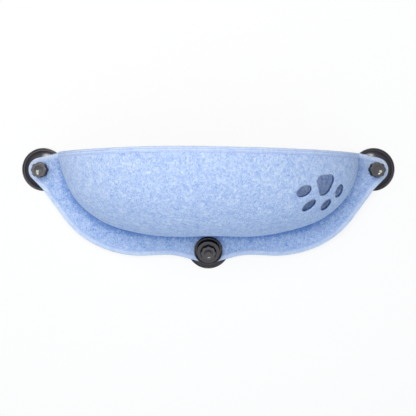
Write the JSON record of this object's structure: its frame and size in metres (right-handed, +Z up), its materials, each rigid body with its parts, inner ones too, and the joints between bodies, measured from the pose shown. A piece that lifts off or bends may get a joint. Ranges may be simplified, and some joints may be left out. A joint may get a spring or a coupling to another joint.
{
  "type": "window mounted cat perch",
  "caption": "Felt window perch for a cat: a D-shaped open pouch with paw-shaped vents on a felt back panel, held to glass by suction cups with screw-down knobs.",
  "frame": {"origin": "centre of the bottom suction cup's sealing face, on the window plane", "axes": "+X to the right seen from the room, +Y out through the glass, +Z up; the whole perch stands on the -Y side of the window plane Y = 0"},
  "size_m": [0.678, 0.2278, 0.2207],
  "materials": {
    "felt": "matt pressed wool-like felt, mottled light blue",
    "tape": "matt folded fabric tape, pale blue, two rows of stitching",
    "strip": "smooth, translucent white",
    "cup_rubber": "satin black soft vinyl",
    "stud_steel": "zinc plated",
    "washer_steel": "zinc plated",
    "disc_plastic": "satin black moulded plastic",
    "knob_plastic": "satin black moulded plastic with a polished dish",
    "insert_brass": "machined"
  },
  "bodies": {
    "perch": {"back_panel": "felt", "panel_binding": "tape", "front_pouch": "felt", "rim_binding": "tape", "rim_stiffener": "strip", "suction_cup_left": "cup_rubber", "suction_cup_right": "cup_rubber", "suction_cup_bottom": "cup_rubber", "cup_stud_left": "stud_steel", "cup_stud_right": "stud_steel", "cup_stud_bottom": "stud_steel"},
    "left_washer": {"washer_left": "washer_steel"},
    "right_washer": {"washer_right": "washer_steel"},
    "bottom_clamp": {"clamp_disc": "disc_plastic"},
    "left_knob": {"knob_left": "knob_plastic", "knob_insert_left": "insert_brass"},
    "right_knob": {"knob_right": "knob_plastic", "knob_insert_right": "insert_brass"},
    "bottom_knob": {"knob_bottom": "knob_plastic", "knob_insert_bottom": "insert_brass"}
  },
  "joints": [
    {"name": "left_washer_travel", "type": "slide", "parent": "perch", "child": "left_washer", "axis": [0, -1, 0], "range_m": [0, 0.011]},
    {"name": "left_knob_turn", "type": "hinge", "parent": "left_washer", "child": "left_knob", "pos_m": [-0.3, -0.033, 0.1425], "axis": [0, -1, 0], "range_deg": [0, 3960]},
    {"name": "right_washer_travel", "type": "slide", "parent": "perch", "child": "right_washer", "axis": [0, -1, 0], "range_m": [0, 0.011]},
    {"name": "right_knob_turn", "type": "hinge", "parent": "right_washer", "child": "right_knob", "pos_m": [0.3, -0.033, 0.1425], "axis": [0, -1, 0], "range_deg": [0, 3960]},
    {"name": "bottom_clamp_travel", "type": "slide", "parent": "perch", "child": "bottom_clamp", "axis": [0, -0.9703, -0.2419], "range_m": [0, 0.011]},
    {"name": "bottom_knob_turn", "type": "hinge", "parent": "bottom_clamp", "child": "bottom_knob", "pos_m": [0, -0.02661, -0.00564], "axis": [0, -0.9703, -0.2419], "range_deg": [0, 3960]}
  ],
  "couplings": [
    {"joint": "left_knob_turn", "follows": "left_washer_travel", "rad_per_m": 6283.2},
    {"joint": "right_knob_turn", "follows": "right_washer_travel", "rad_per_m": 6283.2},
    {"joint": "bottom_knob_turn", "follows": "bottom_clamp_travel", "rad_per_m": 6283.2}
  ]
}
